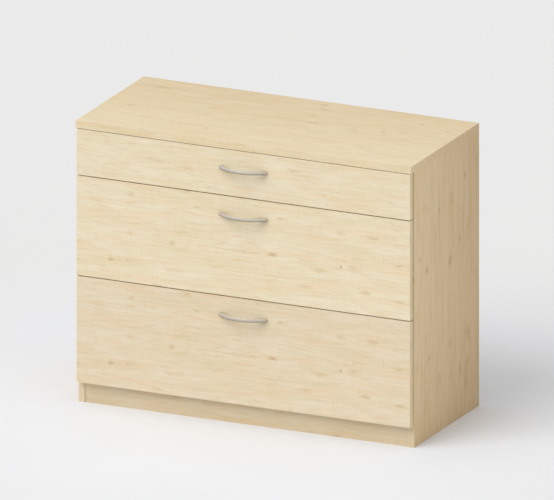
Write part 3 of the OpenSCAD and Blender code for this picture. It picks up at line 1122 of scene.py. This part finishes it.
@dataclass
class Carcass:
    """The fixed chest: six panels, their joint fittings and the screws of the runners."""

    hardware: Hardware
    maple: MapleMelamine = MapleMelamine()

    def dress(self) -> None:
        """Finish the panels, each from its own part of the sheet, and the fittings."""
        # Painted light and shade: the sides are toned warmer and darker than the fronts, for the
        # dimmer, warmer light on faces turned to the sides, and darker still towards the back
        # and the foot.
        side_front_shade, side_back_shade, side_edge = "#FFF3DE", "#E5D4BB", "#F0ECE6"
        left, right = (
            Figure(
                Cut.SIDE, seed, marks, side_front_shade, side_back_shade, side_edge,
                foot_shade="#C8B598", spread=1.7, ribbons=0.32,
            )
            for seed, marks in ((5.0, SIDE_MARKS[::2]), (8.0, SIDE_MARKS))
        )
        for node, figure in {
            # Painted shade: the top fades darker at its back, and its ends take the sides'
            # tones.
            "top_panel": Figure(
                Cut.FLAT, 2.0, TOP_MARKS, "#FCF8F0", "#EFE7DA", "#FCF8F0",
                (side_front_shade, side_back_shade), banding=Banding.UPRIGHT,
            ),
            "left_side_panel": left,
            "right_side_panel": right,
            "bottom_panel": Figure(Cut.FLAT, 7.0),
            "back_panel": Figure(Cut.FACING, 11.0),
            # Painted shade: the plinth is toned darker, as in the shade under the fronts.
            "plinth_panel": Figure(Cut.FACING, 13.0, (), "#ECE7E2", "#ECE7E2"),
        }.items():
            finish_node(node, self.maple.make(node, figure))
        finish_node("cam_locks", self.hardware.cast)
        finish_node("cam_bolts", self.hardware.screws)
        finish_node("wood_dowels", self.hardware.beech)
        finish_node("runner_screws", self.hardware.screws)


@dataclass
class Drawer:
    """One drawer: its front with the handle, its box, and the file rails of a deep one."""

    level: Level
    hardware: Hardware
    box: Material
    figure: Figure
    maple: MapleMelamine = MapleMelamine()

    def build(self) -> None:
        """Build the handle and fix it to the front."""
        handle = Handle(self.level)
        handle.dress(handle.build(), self.hardware.nickel)

    def dress(self) -> None:
        """Finish the front, the box and the drawer's steel."""
        name = self.level.value
        front = f"{name}_front"
        finish_node(front, self.maple.make(front, self.figure))
        for board in ("subfront", "box_left", "box_right", "box_back", "box_bottom"):
            finish_node(f"{name}_{board}", self.box)
        finish_node(f"{name}_screws", self.hardware.screws)
        if self.level is not Level.UPPER:
            finish_node(f"{name}_file_rails", self.hardware.rolled)


@dataclass
class Runners:
    """The pair of ball-bearing runners under one drawer."""

    level: Level
    hardware: Hardware

    def dress(self) -> None:
        """Finish the three members of each runner and the ball cages between them."""
        name = self.level.value
        for side in Side:
            for member in ("cabinet", "intermediate", "drawer"):
                node = f"{name}_{side.value}_{member}_member"
                finish_node(node, self.hardware.drawn)
        for stage in ("cabinet", "drawer"):
            finish_node(f"{name}_{stage}_ball_cages", self.hardware.screws)


@dataclass(frozen=True)
class Lamp:
    """A broad soft lamp, far enough off to light the chest and the floor evenly."""

    name: str
    towards: Point
    strength: float
    spread_deg: float
    colour: str

    def hang(self) -> None:
        """Hang the lamp in its direction from the chest."""
        light = bpy.data.lights.new(self.name, "SUN")
        light.energy, light.angle = self.strength, radians(self.spread_deg)
        light.color = linear(self.colour)[:3]
        lamp = bpy.data.objects.new(self.name, light)
        lamp.location = self.towards
        lamp.rotation_mode = "QUATERNION"
        lamp.rotation_quaternion = Vector(self.towards).to_track_quat("Z", "Y")
        bpy.context.scene.collection.objects.link(lamp)


@dataclass
class Studio:
    """A pale floor, an even soft light, three broad lamps and the camera."""

    azimuth_deg: float = 24.8
    elevation_deg: float = 17.5
    aim: Point = (0.0042, 0.0044, 0.4420)
    picture_width: float = 1.4993
    distance: float = 6.0
    floor_size: float = 16.0
    ambient: float = 0.45
    backdrop: str = "#E0E1E2"
    lamps: tuple[Lamp, ...] = (
        Lamp("key", (-0.42, -0.74, 0.88), 1.53, 42.0, "#FFFFFF"),
        Lamp("overhead", (-0.10, -0.10, 1.00), 0.65, 70.0, "#FFFFFF"),
        Lamp("fill", (0.90, -0.40, 0.35), 0.20, 50.0, "#FFE8DC"),
    )

    def build(self) -> None:
        """Set up the floor, the lights, the world and the camera."""
        self._floor()
        for lamp in self.lamps:
            lamp.hang()
        self._world()
        self._camera()
        bpy.context.scene.view_settings.view_transform = "Standard"
        log.info("set up the studio")

    def _floor(self) -> None:
        """Lay the floor under the chest."""
        made = bmesh.new()
        bmesh.ops.create_grid(made, x_segments=2, y_segments=2, size=self.floor_size / 2)
        mesh = bpy.data.meshes.new("studio_floor")
        made.to_mesh(mesh)
        made.free()
        floor = bpy.data.objects.new("studio_floor", mesh)
        floor.data.materials.append(StudioFloor().make())
        bpy.context.scene.collection.objects.link(floor)

    def _world(self) -> None:
        """Fill the studio with even light, and show a pale backdrop to eye and metal."""
        world = bpy.data.worlds.new("studio")
        world.use_nodes = True
        tree = world.node_tree
        tree.nodes.clear()
        ray = add_node(tree, "ShaderNodeLightPath").outputs
        seen = add_node(
            tree, "ShaderNodeMath", {0: ray["Is Camera Ray"], 1: ray["Is Glossy Ray"]},
            operation="MAXIMUM",
        )
        seen = add_node(
            tree, "ShaderNodeMath", {0: seen.outputs[0], 1: ray["Is Transmission Ray"]},
            operation="MAXIMUM",
        )
        even = add_node(
            tree, "ShaderNodeBackground", {0: (1.0, 1.0, 1.0, 1.0), 1: self.ambient}
        )
        pale = add_node(tree, "ShaderNodeBackground", {0: linear(self.backdrop), 1: 1.0})
        mixed = add_node(
            tree, "ShaderNodeMixShader",
            {0: seen.outputs[0], 1: even.outputs[0], 2: pale.outputs[0]},
        )
        add_node(tree, "ShaderNodeOutputWorld", {0: mixed.outputs[0]})
        bpy.context.scene.world = world

    def _camera(self) -> None:
        """Place the camera for a parallel view of the front, the top and the right side."""
        turn, rise = radians(self.azimuth_deg), radians(self.elevation_deg)
        back = Vector((sin(turn) * cos(rise), -cos(turn) * cos(rise), sin(rise)))
        data = bpy.data.cameras.new("camera")
        data.type = "ORTHO"
        data.ortho_scale = self.picture_width
        camera = bpy.data.objects.new("camera", data)
        camera.location = Vector(self.aim) + back * self.distance
        camera.rotation_mode = "QUATERNION"
        camera.rotation_quaternion = (-back).to_track_quat("-Z", "Y")
        bpy.context.scene.collection.objects.link(camera)
        bpy.context.scene.camera = camera


def main() -> None:
    """Build and finish the chest from the carcass outwards, then set up the studio."""
    logging.basicConfig(level=logging.INFO, format="%(name)s: %(message)s")
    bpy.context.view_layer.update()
    hardware = Hardware()
    Carcass(hardware).dress()
    box = BoxMelamine().make()
    figures = {
        Level.UPPER: Figure(Cut.FACING, 17.0, end_shades=FRONT_END_SHADE),
        Level.MIDDLE: Figure(Cut.FACING, 1.0, FRONT_MARKS, end_shades=FRONT_END_SHADE),
        # Painted shade: the lower front is the middle front's print toned a little darker.
        Level.LOWER: Figure(
            Cut.FACING, 1.0, FRONT_MARKS, "#F8F6F6", "#F8F6F6", "#F8F6F6", FRONT_END_SHADE
        ),
    }
    for level, figure in figures.items():
        drawer = Drawer(level, hardware, box, figure)
        drawer.build()
        drawer.dress()
        Runners(level, hardware).dress()
    Studio().build()


if __name__ == "__main__":
    main()
